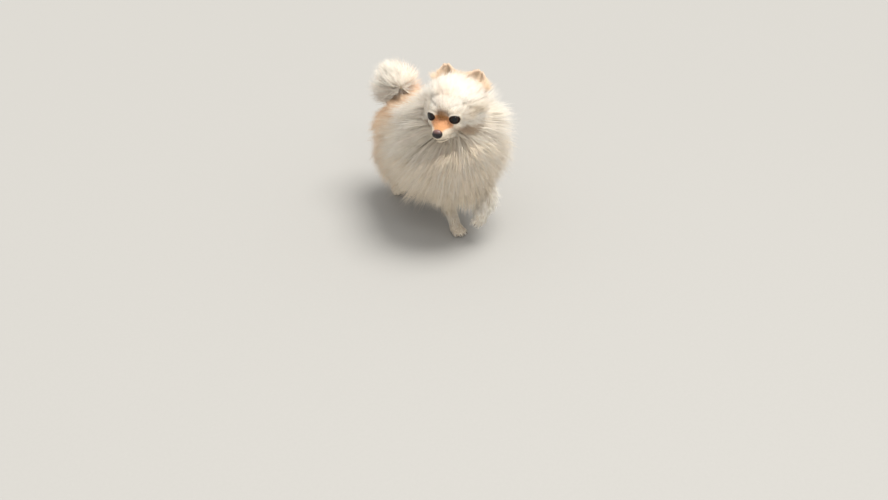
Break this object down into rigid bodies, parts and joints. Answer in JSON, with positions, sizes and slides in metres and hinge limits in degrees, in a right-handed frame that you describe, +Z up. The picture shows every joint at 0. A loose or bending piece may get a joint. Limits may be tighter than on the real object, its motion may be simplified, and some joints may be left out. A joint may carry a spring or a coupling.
{
  "type": "pomeranian dog",
  "caption": "Small dog with a thick stand-off coat, a full ruff and a plumed tail over its back, pausing with its left forefoot raised and its head turned to its right.",
  "frame": {"origin": "on the floor under the middle of the dog's box", "axes": "+Z up, -Y the way the chest faces, so +Y towards the tail, +X the dog's left"},
  "size_m": [0.2102, 0.2862, 0.2759],
  "materials": {
    "coat": "soft, dry fur",
    "tail_coat": "soft, dry fur",
    "ear": "thin furred skin",
    "eye": "wet and glossy",
    "nose": "fine-grained, slightly moist",
    "claw": "smooth horn"
  },
  "bodies": {
    "root": {"torso": "coat", "neck": "coat", "head": "coat", "tail": "tail_coat", "foreleg_right": "coat", "foreleg_left": "coat", "hindleg_right": "coat", "hindleg_left": "coat", "ear_right": "ear", "ear_left": "ear", "eye_right": "eye", "eye_left": "eye", "nose": "nose"}
  },
  "joints": []
}
